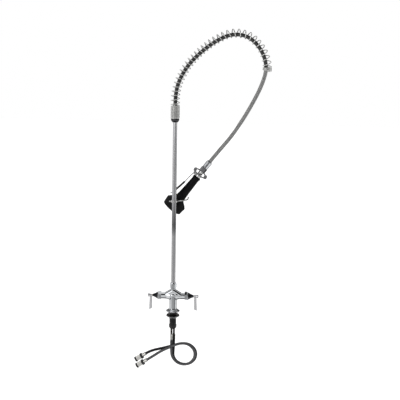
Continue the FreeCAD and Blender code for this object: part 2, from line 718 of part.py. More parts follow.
def make_spray_valve():
    """Pieces along the valve's axis; local -X is the side of the squeeze lever."""
    place = VALVE_PLACE
    turned("spray_head", [
        (dim.face_radius - 1.4, 0.4), (dim.face_radius, 2.0), (dim.head_radius - 0.3, 24.5, 90.0),
        (dim.head_radius, 27.5, 3.2), (dim.head_radius - 2.2, 31.0), (35.5, 36.2),
        (22.5, 46.4, -14.0), (18.6, 57.0), (17.9, dim.grip_start), (13.1, dim.grip_start),
        (13.1, 40.0), (17.0, 38.0), (32.0, 29.5), (36.5, 25.0), (36.5, 0.4)], place)
    head = NODES[-1]
    bore(head, "spray_head_plunger_way", "YZ_Plane", 4.3, 0.0, dim.plunger_along, 0.0, 40.0)

    face = turned("spray_face", [
        (0.0, -6.8, crown(36.3, 7.0)), (36.3, 0.2), (36.3, 4.0), (34.0, 4.0),
        (0.0, -3.2)], place)
    for count, radius in ((6, 9.5), (12, 18.0), (18, 26.5)):
        hole = bore(face, f"spray_face_ring_{count}", "XY_Plane", 1.1, radius, 0.0, -8.0,
                    14.0, backwards=True)
        polar(face, hole, count)
    bore(face, "spray_face_middle", "XY_Plane", 2.1, 0.0, 0.0, -8.0, 14.0, backwards=True)
    turned("face_screw", [
        (0.0, -8.6), (3.4, -8.6), (4.0, -8.0), (4.0, -6.85), (2.0, -6.85), (2.0, 38.0),
        (0.0, 38.0)], place)

    body = turned("spray_valve_body", [
        (2.1, 30.0), (6.0, 30.0), (6.0, 37.0), (13.0, 40.2), (13.0, 64.0), (10.0, 66.0),
        (10.0, dim.grip_end - 1.0), (11.6, dim.grip_end + 0.2), (11.6, dim.grip_end + 9.0),
        (9.3, dim.grip_end + 11.0), (9.3, 186.0), (6.6, 186.0), (6.6, 68.0), (2.1, 62.0)],
        place)
    sketch = new_sketch(body, "lever_bracket_outline", "XZ_Plane")
    near = -dim.pivot_off
    draw_outline(sketch, [
        (-8.0, dim.pivot_along - 4.6), (near - 2.0, dim.pivot_along - 4.6, 4.7),
        (near - 2.0, dim.pivot_along + 4.6), (-8.0, dim.pivot_along + 4.6)])
    pad(body, "lever_bracket", sketch, 18.0, both_sides=True)
    sketch = new_sketch(body, "lever_slot_outline", "XZ_Plane")
    draw_outline(sketch, [
        (-12.0, dim.pivot_along - 6.0), (near - 8.0, dim.pivot_along - 6.0),
        (near - 8.0, dim.pivot_along + 6.0), (-12.0, dim.pivot_along + 6.0)])
    pocket(body, "lever_slot", sketch, 12.6, both_sides=True)
    bore(body, "lever_bracket_pin_hole", "XZ_Plane", 2.0, near, dim.pivot_along, 0.0, 30.0,
         both_sides=True)
    bore(body, "plunger_bore", "YZ_Plane", 2.6, 0.0, dim.plunger_along, 10.6, 30.0)
    bore(body, "packing_bore", "YZ_Plane", 3.8, 0.0, dim.plunger_along, -8.0, 8.0)

    turned("grip_sleeve", [
        (10.1, dim.grip_start + 0.1), (17.6, dim.grip_start + 0.1), (16.5, 82.0),
        (14.5, 130.0), (14.0, 145.0, -12.0), (15.4, 151.5), (15.4, 155.5), (14.6, 158.4),
        (12.4, dim.grip_end - 1.2), (10.1, dim.grip_end - 1.2)], place)

    make_lever(place)
    turned("lever_pivot_pin", [
        (0.0, -10.6), (3.2, -10.6), (3.2, -9.1), (1.95, -9.1), (1.95, 9.1), (2.6, 9.6),
        (2.0, 10.6), (0.0, 10.6)],
        place.multiply(Placement(
            Vector(-dim.pivot_off.value, 0, dim.pivot_along.value),
            Rotation(Vector(1, 0, 0), 90))))
    inwards = place.multiply(Placement(
        Vector(0, 0, dim.plunger_along.value), Rotation(Vector(0, 1, 0), -90)))
    turned("valve_plunger", [
        (0.0, 2.0), (2.5, 2.0), (2.5, 30.2), (4.0, 30.2), (4.0, 31.6), (2.4, 32.5),
        (0.0, 32.9)], inwards)
    turned("packing_nut", [
        (2.6, 8.1), (3.7, 8.1), (3.7, 17.0), (2.6, 17.0)], inwards)
    coil_plunger_spring(inwards)

    ring = doc.addObject("Part::Torus", "hold_down_ring")
    ring.Radius1 = 25.0
    ring.Radius2 = 2.6
    tilt = Placement(Vector(0, 0, 177.5), Rotation(Vector(1, 0, 0), 12))
    keep(ring, "hold_down_ring", place.multiply(tilt))

    adapter = turned("hose_adapter", [
        (5.5, 186.1), (11.2, 186.1), (12.7, 187.6), (12.7, 202.4), (11.2, dim.ferrule_start),
        (5.5, dim.ferrule_start)], place)
    hex_flats(adapter, dim.adapter_flats, 186.0, 205.2, 16.0)
    start = dim.ferrule_start
    end = dim.ferrule_end
    turned("hose_end_ferrule", [
        (5.5, start + 0.05), (10.6, start + 0.05), (11.2, start + 1.0), (11.0, start + 6.0),
        (10.2, start + 7.0), (10.4, start + 14.0), (9.6, start + 15.0),
        (9.4, end - 3.0), (8.7, end), (5.5, end)], place)


def make_lever(place):
    """The long squeeze lever, a strip that opens away from the grip."""
    body = doc.addObject("PartDesign::Body", "squeeze_lever")
    sketch = new_sketch(body, "lever_strip_outline", "XZ_Plane")
    strip = [(19.6, 165.0), (22.2, 150.0), (25.2, 112.0), (30.4, 78.0), (34.6, 54.0),
             (39.0, 45.5)]
    thick = 2.3
    outer = [(-off - thick, along) for off, along in strip]
    inner = [(-off, along) for off, along in reversed(strip)]
    outer[-1] = (outer[-1][0] - 0.4, outer[-1][1] - 1.6)
    draw_outline(sketch, outer + inner)
    pad(body, "lever_strip", sketch, 11.0, both_sides=True)
    eye = new_sketch(body, "lever_eye_outline", "XZ_Plane")
    circle_in(eye, 4.3, -dim.pivot_off, dim.pivot_along)
    pad(body, "lever_eye", eye, 11.0, both_sides=True)
    bore(body, "lever_pin_hole", "XZ_Plane", 2.0, -dim.pivot_off, dim.pivot_along, 0.0,
         20.0, both_sides=True)
    keep(body, "squeeze_lever", place)


def coil_plunger_spring(place):
    """A small compression spring between the packing nut and the plunger's head."""
    wire = 0.35
    radius = 3.2
    helix = Part.makeHelix(2.3, 12.0, radius)
    ring = Part.Circle(Vector(radius, 0, 0), Vector(0, 1, 0), wire)
    coil = Part.Wire(helix).makePipeShell([Part.Wire(ring.toShape())], True, True)
    item = doc.addObject("Part::Feature", "plunger_spring")
    item.Shape = coil
    lift = Placement(Vector(0, 0, 17.6), Rotation())
    keep(item, "plunger_spring", place.multiply(lift))


# ---------------------------------------------------------------- overhead spring
def tangent_arcs(points, tangents):
    """Two tangent arcs between each pair of points, so that the chain is smooth."""
    edges = []
    for start, stop, along, onward in zip(points, points[1:], tangents, tangents[1:]):
        span = stop - start
        both = span.dot(along + onward)
        bend = 2 * (1 - along.dot(onward))
        reach = (math.sqrt(both * both + bend * span.dot(span)) - both) / bend
        middle = (start + along * reach + stop - onward * reach) * 0.5
        edges.append(arc_from(start, along, middle))
        edges.append(arc_from(stop, onward * -1, middle, swap=True))
    return edges


def arc_from(start, tangent, stop, swap=False):
    """The arc that leaves a point along a tangent and ends at another point."""
    chord = stop - start
    along = unit(chord)
    side = unit(tangent - along * tangent.dot(along))
    rise = chord.Length / 2 * math.tan(tangent.getAngle(along) / 2)
    middle = start + chord * 0.5 + side * rise
    if swap:
        start, stop = stop, start
    return Part.Arc(start, middle, stop).toShape()


class SpringPath:
    """Places along the hose, measured from the spring's seat."""

    def __init__(self, edges, straight):
        self.edges = edges
        self.straight = straight

    def at(self, distance):
        if distance <= self.straight:
            foot = Vector(0, 0, dim.hose_start.value - self.straight + distance)
            return foot, Vector(0, 0, 1)
        left = distance - self.straight
        for edge in self.edges:
            if left <= edge.Length:
                place = edge.getParameterByLength(left)
                return edge.valueAt(place), unit(edge.tangentAt(place))
            left -= edge.Length
        raise ValueError("the spring is longer than the hose")


def ease(value, low, high):
    """0 below low, 1 above high, and smooth between them."""
    share = min(max((value - low) / (high - low), 0.0), 1.0)
    return share * share * (3 - 2 * share)


def coil_pitch(distance, end):
    """Closed coils at the seat, open coils over the bend, closed coils at the end."""
    closed = 2 * dim.wire_radius.value + 0.35
    opened = 16.0 + 3.5 * ease(distance, 250, 480)
    share = ease(distance, 43, 58) * (1 - ease(distance, end - 22, end - 10))
    return closed + (opened - closed) * share


def make_overhead_spring(hose_edges):
    seat = dim.holder_top.value + dim.wire_radius.value + 0.05
    path = SpringPath(hose_edges, dim.hose_start.value - seat)
    end = 616.0
    steps_per_turn = 5
    sideways = Vector(0, 1, 0)

    def on_coil(distance, angle):
        middle, along = path.at(distance)
        outwards = unit(along.cross(sideways))
        across = unit(along.cross(outwards))
        lean = 4.4 * ease(distance, 120, 330)
        middle = middle + outwards * lean
        spoke = outwards * math.cos(angle) + across * math.sin(angle)
        return middle + spoke * dim.coil_radius.value

    stations = [(0.0, 0.0)]
    distance, angle = stations[0]
    while distance < end:
        angle += 2 * math.pi / steps_per_turn
        half_step = coil_pitch(distance, end) / steps_per_turn / 2
        distance += coil_pitch(distance + half_step, end) / steps_per_turn
        stations.append((distance, angle))
    points = []
    tangents = []
    for distance, angle in stations:
        points.append(on_coil(distance, angle))
        small = 0.02
        rate = coil_pitch(distance, end) / (2 * math.pi)
        ahead = on_coil(distance + rate * small, angle + small)
        behind = on_coil(max(distance - rate * small, 0.0), angle - small)
        tangents.append(unit(ahead - behind))
    edges = tangent_arcs(points, tangents)
    solid = swept(edges, dim.wire_radius.value)
    length = sum(edge.Length for edge in edges)
    expected = math.pi * dim.wire_radius.value ** 2 * length
    print(f"overhead_spring: {angle / (2 * math.pi):.1f} turns, wire {length:.0f},"
          f" volume error {abs(solid.Volume / expected - 1):.5f}, faces {len(solid.Faces)}")
    item = doc.addObject("Part::Feature", "overhead_spring")
    item.Shape = solid
    item.Placement = Placement()
    keep(item, "overhead_spring")


def make_main_hose():
    route = [
        Vector(0, 0, dim.hose_start.value), Vector(0, 0, 846), Vector(11, 1, 896),
        Vector(42, 2, 953), Vector(88, 3, 1002), Vector(144, 4, 1046),
        Vector(205, 6, 1075), Vector(268, 11, 1067), Vector(317, 17, 1018),
        Vector(339, 23, 952), Vector(321, 30, 886), Vector(290, 37, 820),
        Vector(253, 43, 753), Vector(211, 49, 687), on_valve_axis(290.0),
        on_valve_axis(dim.ferrule_end.value)]
    return hose("main_hose", route, dim.hose_radius.value)


# ---------------------------------------------------------------- supplies
def union_place(end):
    """Local Z runs from the end of a supply hose along its union fitting."""
    drop = math.radians(dim.union_drop.value)
    along = Vector(-math.cos(drop), 0, -math.sin(drop))
    return Placement(end, Rotation(Vector(0, 0, 1), along))


def make_supply(name, side, hose_points, end):
    """One supply: rigid tube, crimped ferrules, hose, tailpiece and union nut."""
    foot = Placement(Vector(side * dim.supply_reach.value, side * dim.supply_back.value, 0),
                     Rotation())
    tube = dim.supply_tube
    turned(f"{name}_supply_stem", [
        (2.6, dim.supply_tube_end), (tube, dim.supply_tube_end), (tube, 13.9),
        (2.6, 13.9)], foot)
    low = dim.supply_hose_start
    turned(f"{name}_upper_ferrule", [
        (2.6, low), (5.5, low), (5.75, low + 0.8), (5.75, low + 8.0), (5.4, low + 8.8),
        (5.4, low + 14.0), (5.75, low + 14.8), (5.75, low + 21.0),
        (4.8, dim.supply_tube_end - 0.05), (2.6, dim.supply_tube_end - 0.05)], foot)
    hose(f"{name}_supply_hose", hose_points, dim.supply_hose.value)

    place = union_place(end)
    turned(f"{name}_lower_ferrule", [
        (2.6, 0.0), (6.4, 0.0), (7.0, 0.8), (7.0, 6.0), (6.5, 6.8), (6.5, 11.0),
        (7.0, 11.8), (7.0, 15.2), (6.4, 16.0), (2.6, 16.0)], place)
    turned(f"{name}_tailpiece", [
        (2.6, 16.05), (10.9, 16.05), (11.5, 16.8), (11.5, 22.3), (10.9, 23.0),
        (5.0, 23.0), (5.0, 31.0), (6.6, 31.0), (6.6, 34.0), (2.6, 34.0)], place)
    corner = 17.6 * HEX_CORNER
    nut = turned(f"{name}_union_nut", [
        (5.08, 23.6), (corner - 1.4, 23.6), (corner, 25.0), (corner, 44.0), (10.5, 44.0),
        (10.5, 48.0), (9.8, 49.0), (dim.union_bore, 49.0), (dim.union_bore, 36.0),
        (6.7, 36.0), (6.7, 30.9), (5.08, 30.9)], place)
    sketch = new_sketch(nut, f"{name}_union_flats_outline", "XY_Plane", 23.4)
    draw_outline(sketch, [
        (17.6 * HEX_CORNER * math.cos(math.radians(60 * index)),
         17.6 * HEX_CORNER * math.sin(math.radians(60 * index))) for index in range(6)])
    circle_in(sketch, 14.0)
    pocket(nut, f"{name}_union_flats", sketch, 20.6, backwards=True)
    return place


def looped_route(foot_x, foot_y, centre_x, centre_z, depths, run, end):
    """A supply hose's corners: down from the foot, once round an eight-sided loop,
    then out to its fitting. Depths are the Y values round the loop."""
    start = dim.supply_hose_start.value
    reach = dim.loop_reach.value
    route = [Vector(foot_x, foot_y, start), Vector(foot_x, foot_y, start - 33)]
    for index, depth in enumerate(depths):
        angle = math.radians(202.5 + 45 * index)
        corner = reach / math.cos(math.radians(22.5))
        route.append(Vector(centre_x + corner * math.cos(angle), depth,
                            centre_z + corner * math.sin(angle)))
    before = union_place(end).multVec(Vector(0, 0, -24))
    return route + run + [before, end]


def make_supplies():
    hot_end = Vector(-97.3, -31, -192.5)
    cold_end = Vector(-103.3, -18.5, -171.5)
    reach = dim.supply_reach.value
    back = dim.supply_back.value
    hot_route = looped_route(
        -reach, -back, 43.5, dim.hot_loop_height.value, (-6, -9, -13, -17, -21, -25),
        [Vector(28, -30, -120), Vector(-3, -33, -134), Vector(-41, -32, -153)], hot_end)
    cold_route = looped_route(
        reach, back, 47.5, dim.cold_loop_height.value, (4.5, 6, 4, 0, -5, -10),
        [Vector(34, -15, -125), Vector(3, -20, -134), Vector(-39, -19, -147)], cold_end)
    places = [make_supply("hot", -1, hot_route, hot_end),
              make_supply("cold", 1, cold_route, cold_end)]
    paired("union_washers", [(2.7, 34.05), (6.6, 34.05), (6.6, 35.9), (2.7, 35.9)], places)
    feet = [Placement(Vector(side * dim.supply_reach.value, side * dim.supply_back.value, 0),
                      Rotation()) for side in (-1, 1)]
    paired("check_valves", [
        (1.6, 14.1), (4.3, 14.1), (4.3, 24.0), (3.6, 28.0), (1.6, 28.0)], feet)


# ---------------------------------------------------------------- build and write
def check_document():
    """Stops if any object failed, or if a cut removed nothing."""
    doc.recompute()
    for item in doc.Objects:
        bad = [state for state in item.State if state in ("Invalid", "Error")]
        if bad:
            raise ValueError(f"{item.Label} is {bad}")
    for feature in CUTS:
        before = feature.BaseFeature.Shape.Volume
        if feature.Shape.Volume >= before - 1e-6:
            raise ValueError(f"{feature.Name} cut nothing")
    for item in NODES:
        if item.Shape.isNull() or not item.Shape.isValid():
            raise ValueError(f"{item.Label} has no valid shape")


def write_parts():
    for item in NODES:
        item.Shape.exportStep(f"parts/{item.Label}.step")
        box = item.Shape.BoundBox
        print(f"{item.Label}: solids {len(item.Shape.Solids)}, volume"
              f" {item.Shape.Volume:.0f}, z {box.ZMin:.1f} to {box.ZMax:.1f}")
    print(len(NODES), "nodes")


make_valve_body()
make_deck_pieces()
left_place = make_side("left", -1)
right_place = make_side("right", 1)
seal_low = dim.valve_floor
paired("seat_seals", [
    (2.8, seal_low), (7.4, seal_low), (7.4, seal_low + dim.seal_thickness - 0.02),
    (2.8, seal_low + dim.seal_thickness - 0.02)], [left_place, right_place])
make_riser()
make_hook()
make_spray_valve()
make_overhead_spring(make_main_hose())
make_supplies()
check_document()
write_parts()
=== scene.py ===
# %% [markdown]
# # A pre-rinse faucet
# A deck faucet with two lever handles, a tall riser, a sprung overhead hose and a
# squeeze-lever spray valve. The solid model is already made and packed: it fixes
# where everything is and what moves. This lesson gives it its surfaces, its hoses
# and its light. One unit is one metre, +Z is up and +X is towards the right handle.

# %% Load the frame
import math

import bmesh
import bpy
from mathutils import Matrix, Vector


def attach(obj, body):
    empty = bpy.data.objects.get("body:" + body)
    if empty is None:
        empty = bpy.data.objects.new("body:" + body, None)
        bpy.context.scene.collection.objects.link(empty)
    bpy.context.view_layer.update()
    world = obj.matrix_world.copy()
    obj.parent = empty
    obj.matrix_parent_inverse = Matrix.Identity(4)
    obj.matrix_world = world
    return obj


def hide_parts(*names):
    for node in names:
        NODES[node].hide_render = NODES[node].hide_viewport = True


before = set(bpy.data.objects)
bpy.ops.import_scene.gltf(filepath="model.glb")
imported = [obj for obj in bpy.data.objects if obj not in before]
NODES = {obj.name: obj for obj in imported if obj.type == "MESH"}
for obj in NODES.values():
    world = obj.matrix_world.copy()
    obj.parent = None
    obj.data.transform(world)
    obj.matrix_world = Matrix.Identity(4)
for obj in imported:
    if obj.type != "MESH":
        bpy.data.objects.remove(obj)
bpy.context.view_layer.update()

MM = 0.001

# %% [markdown]
# The camera stands low and slightly to the right of straight ahead, far enough back
# for a flat, catalogue-like view. It is turned by one degree about its own axis.
# It is made first, because it decides which side of each piece gets the most care.

# %% Camera
AIM = Vector((98.17, 8.58, 446.16)) * MM
AZIMUTH = math.radians(3.0)
ELEVATION = math.radians(12.0)
ROLL = math.radians(1.0)
DISTANCE = 3.608
FOCAL_LENGTH = 85.0
SENSOR_WIDTH = 36.0

back = Vector((math.sin(AZIMUTH) * math.cos(ELEVATION),
               -math.cos(AZIMUTH) * math.cos(ELEVATION), math.sin(ELEVATION)))
camera = bpy.data.objects.new("camera", bpy.data.cameras.new("camera"))
camera.data.lens = FOCAL_LENGTH
camera.data.sensor_width = SENSOR_WIDTH
camera.rotation_mode = "QUATERNION"
upright = (-back).to_track_quat("-Z", "Y")
camera.rotation_quaternion = upright @ Matrix.Rotation(ROLL, 4, "Z").to_quaternion()
camera.location = AIM + back * DISTANCE
bpy.context.scene.collection.objects.link(camera)
bpy.context.scene.camera = camera
print("camera at", tuple(round(value, 3) for value in camera.location))

# %% [markdown]
# Three hoses are flexible: the main hose, from the top of the riser to the spray
# valve, and the two supplies under the deck. Each follows one smooth curve whose
# control points are the corners of its route, so it bends evenly and has no kinks.
# A quadratic curve touches the middle of each run, as the hose does.

# %% Routes of the hoses
VALVE_FACE = Vector((-14.0, 53.0, 402.0))
VALVE_TILT = math.radians(52.0)
VALVE_AXIS = Vector((math.cos(VALVE_TILT), 0.0, math.sin(VALVE_TILT)))
UNION_DROP = math.radians(33.0)
UNION_AXIS = Vector((-math.cos(UNION_DROP), 0.0, -math.sin(UNION_DROP)))
LOOP_REACH = 46.0
SUPPLY_TOP = -117.0
SUPPLY_STRAIGHT = -150.0
LOOP_STEP = 45.0
LOOP_FIRST = 202.5
LAST_STRAIGHT = 24.0


def supply_route(foot, centre_x, centre_z, depths, run, end):
    """Down from the faucet, once round an eight-sided loop, and out to the fitting."""
    route = [Vector((*foot, SUPPLY_TOP)), Vector((*foot, SUPPLY_STRAIGHT))]
    corner = LOOP_REACH / math.cos(math.radians(LOOP_STEP / 2))
    for index, depth in enumerate(depths):
        angle = math.radians(LOOP_FIRST + LOOP_STEP * index)
        route.append(Vector((centre_x + corner * math.cos(angle), depth,
                             centre_z + corner * math.sin(angle))))
    route += [Vector(point) for point in run]
    return route + [end - UNION_AXIS * LAST_STRAIGHT, end]


HOT_END = Vector((-97.3, -31.0, -192.5))
COLD_END = Vector((-103.3, -18.5, -171.5))
ROUTES = {
    "main_hose": [
        Vector(point) for point in (
            (0, 0, 808), (0, 0, 846), (11, 1, 896), (42, 2, 953), (88, 3, 1002),
            (144, 4, 1046), (205, 6, 1075), (268, 11, 1067), (317, 17, 1018),
            (339, 23, 952), (321, 30, 886), (290, 37, 820), (253, 43, 753),
            (211, 49, 687))
    ] + [VALVE_FACE + VALVE_AXIS * 290, VALVE_FACE + VALVE_AXIS * 237],
    "hot_supply_hose": supply_route(
        (-4.6, -3.8), 43.5, -168.0, (-6, -9, -13, -17, -21, -25),
        [(28, -30, -120), (-3, -33, -134), (-41, -32, -153)], HOT_END),
    "cold_supply_hose": supply_route(
        (4.6, 3.8), 47.5, -173.5, (4.5, 6, 4, 0, -5, -10),
        [(34, -15, -125), (3, -20, -134), (-39, -19, -147)], COLD_END),
}


def smooth_line(name, route):
    """A smooth curve with the route's corners as its control points."""
    curve = bpy.data.curves.new(name, "CURVE")
    curve.dimensions = "3D"
    spline = curve.splines.new("NURBS")
    spline.points.add(len(route) - 1)
    for point, place in zip(spline.points, route):
        point.co = (*(place * MM), 1.0)
    spline.order_u = 3
    spline.use_endpoint_u = True
    spline.resolution_u = 24
    line = bpy.data.objects.new(name, curve)
    bpy.context.scene.collection.objects.link(line)
    return line


def line_points(line):
    """The points of a curve that has no thickness yet."""
    mesh = bpy.data.meshes.new_from_object(line)
    points = [vertex.co.copy() for vertex in mesh.vertices]
    bpy.data.meshes.remove(mesh)
    return points


def length_of(points):
    """The length of a row of points."""
    return sum((after - before).length for before, after in zip(points, points[1:]))


lines = {name: smooth_line(name + "_line", route) for name, route in ROUTES.items()}
paths = {name: line_points(line) for name, line in lines.items()}
for name, path in paths.items():
    print(name, "is", round(length_of(path), 4), "m long")

# %% [markdown]
# Every finish is a node tree. Colours are written as the hex values that a paint or
# plating chart gives, and one function turns them to the linear values that Blender
# works in. One helper adds a node, its settings and its links.

# %% Helpers for finishes
def linear(hex_colour):
    """An sRGB hex colour as linear red, green, blue and alpha."""
    channels = [int(hex_colour[index:index + 2], 16) / 255 for index in (1, 3, 5)]
    return tuple(value / 12.92 if value <= 0.04045 else ((value + 0.055) / 1.055) ** 2.4
                 for value in channels) + (1.0,)


def add_node(tree, kind, inputs=None, **settings):
    """Adds a node. inputs maps a socket's name or number to what it gets: a value, an
    output, or a node, which stands for its first output."""
    node = tree.nodes.new(kind)
    for name, value in settings.items():
        setattr(node, name, value)
    for key, value in (inputs or {}).items():
        if isinstance(value, bpy.types.Node):
            value = value.outputs[0]
        if isinstance(value, bpy.types.NodeSocket):
            tree.links.new(value, node.inputs[key])
        else:
            node.inputs[key].default_value = value
    return node


def new_finish(name, **constants):
    """A material with one Principled shader, whose plain values are set directly."""
    material = bpy.data.materials.new(name)
    material.use_nodes = True
    tree = material.node_tree
    tree.nodes.clear()
    shader = add_node(tree, "ShaderNodeBsdfPrincipled",
                      {key.replace("_", " "): value for key, value in constants.items()})
    add_node(tree, "ShaderNodeOutputMaterial", {"Surface": shader})
    return material, tree, shader


print("chrome's grey is", tuple(round(value, 3) for value in linear("#CBCDCF")[:3]))

# %% [markdown]
# No real surface is one flat value. A noise pattern with a grain of a real size, in the
# piece's own coordinates, varies the colour, the gloss and the height together. It needs
# no unwrapping and stays on the piece when a joint moves.

# %% Helpers for grain
GRAIN_LOW, GRAIN_HIGH = 0.3, 0.7
FINE_RELIEF = 0.06


def mottled(tree, grain_mm, stretch=(1, 1, 1), detail=3.0):
    """Noise with a grain of a real size, in the piece's own coordinates."""
    place = add_node(tree, "ShaderNodeTexCoord").outputs["Object"]
    if stretch != (1, 1, 1):
        place = add_node(tree, "ShaderNodeMapping", {"Vector": place, "Scale": stretch})
    return add_node(tree, "ShaderNodeTexNoise",
                    {"Vector": place, "Scale": 1 / (grain_mm * MM), "Detail": detail,
                     "Roughness": 0.55}).outputs["Fac"]


def tinted(tree, pattern, colours, low=GRAIN_LOW, high=GRAIN_HIGH):
    """Runs from one hex colour to another as a pattern runs from low to high."""
    share = add_node(tree, "ShaderNodeMapRange",
                     {"Value": pattern, "From Min": low, "From Max": high})
    return add_node(tree, "ShaderNodeMix", {
        0: share, 6: linear(colours[0]), 7: linear(colours[1])},
        data_type="RGBA").outputs[2]


def roughened(tree, shader, grain, roughness, bump_mm, fine_mm=None):
    """Lets a grain vary the gloss and the height, with a finer grain on top."""
    gloss = add_node(tree, "ShaderNodeMapRange", {
        "Value": grain, "From Min": GRAIN_LOW, "From Max": GRAIN_HIGH,
        "To Min": roughness[0], "To Max": roughness[1]})
    relief = add_node(tree, "ShaderNodeBump", {"Height": grain, "Distance": bump_mm * MM})
    if fine_mm:
        relief = add_node(tree, "ShaderNodeBump", {
            "Height": mottled(tree, fine_mm, detail=2.0),
            "Distance": fine_mm * FINE_RELIEF * MM, "Normal": relief})
    tree.links.new(gloss.outputs[0], shader.inputs["Roughness"])
    tree.links.new(relief.outputs[0], shader.inputs["Normal"])


def simple_finish(name, colours, roughness, grain_mm, bump_mm, stretch=(1, 1, 1),
                  fine_mm=None, **constants):
    """A finish whose colour, gloss and surface all vary with one grain."""
    material, tree, shader = new_finish(name, **constants)
    grain = mottled(tree, grain_mm, stretch)
    tree.links.new(tinted(tree, grain, colours), shader.inputs["Base Color"])
    roughened(tree, shader, grain, roughness, bump_mm, fine_mm)
    return material


print("a fine grain is", FINE_RELIEF, "of its width deep")

# %% [markdown]
# The metals. A metal has no colour of its own under its reflections, so its base
# colour is the tint of those reflections, and almost all of its character is in how
# rough it is. Real lines of brushing and drawing are a few hundredths of a millimetre
# apart, too fine to show from here, so they are drawn about a millimetre wide.

# %% Metal finishes
FINISHES = {}
# Nearly a mirror, with slow waves left by the polishing wheel.
FINISHES["chrome"] = simple_finish(
    "polished_chrome_plate", ("#CBCDCF", "#BABCBF"), (0.05, 0.12), 9.0, 0.035,
    Metallic=1.0)
# Soft streaks instead of sharp reflections, where hands wear the plating.
FINISHES["brushed_chrome"] = simple_finish(
    "brushed_chrome_plate", ("#D2D2D4", "#C0C0C2"), (0.24, 0.34), 1.4, 0.008,
    stretch=(1, 1, 0.1), Metallic=1.0)
# A mirror again, whose cone gets a painted dark reflection in a later cell.
FINISHES["bonnet_chrome"] = simple_finish(
    "chrome_with_painted_dark_cone", ("#BEC0C2", "#AEB0B3"), (0.05, 0.12), 6.0, 0.02,
    Metallic=1.0)
# Long fine lines along a drawn tube, which stretch each highlight.
FINISHES["satin"] = simple_finish(
    "satin_stainless_tube", ("#BEBEC0", "#A2A2A4"), (0.16, 0.26), 0.8, 0.006,
    stretch=(1, 1, 0.03), Metallic=1.0)
# Slightly hazy reflections, from the fine rings of a lathe tool.
FINISHES["turned_steel"] = simple_finish(
    "turned_stainless", ("#C3C3C2", "#A8A8A7"), (0.14, 0.26), 1.2, 0.008,
    Metallic=1.0)
# A warmer, softer shine than chrome.
FINISHES["nickel"] = simple_finish(
    "nickel_plated_brass", ("#D0CFCB", "#B8B7B3"), (0.12, 0.24), 3.0, 0.015,
    Metallic=1.0)
# Bright wire, so that each coil carries one sharp line of light.
FINISHES["spring"] = simple_finish(
    "drawn_spring_wire", ("#DADAD8", "#B9B9B7"), (0.08, 0.20), 2.4, 0.012,
    Metallic=1.0)
# A dull blue-grey, cloudy from the plating bath.
FINISHES["zinc"] = simple_finish(
    "zinc_plated_steel", ("#A5A6A7", "#7C7E80"), (0.22, 0.38), 2.2, 0.02,
    Metallic=1.0)
# Brushed grey sheet, darker than the tubes.
FINISHES["sheet_steel"] = simple_finish(
    "brushed_stainless_sheet", ("#7E7E80", "#666668"), (0.22, 0.36), 0.9, 0.008,
    stretch=(0.1, 1, 0.1), Metallic=1.0)
# Dark metal that still has clear highlights.
FINISHES["black_steel"] = simple_finish(
    "blackened_steel", ("#4B4B4D", "#323234"), (0.16, 0.28), 3.0, 0.015, Metallic=1.0)
# Yellow metal, hidden inside the valves.
FINISHES["brass"] = simple_finish(
    "machined_brass", ("#D9BE7C", "#C4A560"), (0.16, 0.30), 1.4, 0.008, Metallic=1.0)
# Brown-black copper that hardly shines.
FINISHES["dark_tube"] = simple_finish(
    "blackened_copper_tube", ("#3A3533", "#221F1E"), (0.25, 0.42), 3.0, 0.02,
    Metallic=1.0)
print(len(FINISHES), "plain metal finishes")

# %% [markdown]
# Two metals get a painted dark reflection along a piece: a darker stretch of the riser
# below the spray valve, and the cone of each bonnet. Every piece stands at the origin, so
# its Object coordinates are real places, and one coordinate can hold the darker tone in
# its band.

# %% Metals with a painted dark reflection along a piece
MATH = "ShaderNodeMath"
# The dark band starts three times as sharply as it ends.
START_SHARE = 3


def paint_dark_reflection_band(material, axis, low, high, soft, shade):
    """Paints a dark reflection into a finish between two distances from the origin along
    one axis.
    """
    tree = material.node_tree
    shader = tree.nodes["Principled BSDF"]
    place = add_node(tree, "ShaderNodeTexCoord").outputs["Object"]
    parts = add_node(tree, "ShaderNodeSeparateXYZ", {0: place})
    reach = add_node(tree, MATH, {0: parts.outputs[axis]}, operation="ABSOLUTE")
    edge = soft / START_SHARE
    above = add_node(tree, "ShaderNodeMapRange", {
        "Value": reach, "From Min": low - edge, "From Max": low + edge})
    below = add_node(tree, "ShaderNodeMapRange", {
        "Value": reach, "From Min": high - soft, "From Max": high + soft,
        "To Min": 1.0, "To Max": 0.0})
    held = add_node(tree, MATH, {0: above, 1: below}, operation="MULTIPLY")
    clean = shader.inputs["Base Color"].links[0].from_socket
    mixed = add_node(tree, "ShaderNodeMix", {
        0: held, 6: clean, 7: linear(shade)}, data_type="RGBA")
    tree.links.new(mixed.outputs[2], shader.inputs["Base Color"])


ALONG_X, ALONG_Z = 0, 2
# Both bands are painted dark reflections: a darker stretch of the riser, and each bonnet's
# cone.
paint_dark_reflection_band(FINISHES["satin"], ALONG_Z, 0.325, 0.40, 0.07, "#565658")
paint_dark_reflection_band(FINISHES["bonnet_chrome"], ALONG_X, 0.059, 0.12, 0.004, "#37383A")
print("darkened the riser and the bonnets")

# %% [markdown]
# The union nuts are bright nickel up to a painted dark reflection, a black rim at their
# open end. The nuts lie at a slant, so the distance along their own axis, a dot product,
# tells rim from nut.

# %% Union nuts with a painted dark rim
UNION_REACH = 49.0
RIM_START, RIM_FULL = 7.2 * MM, 6.6 * MM


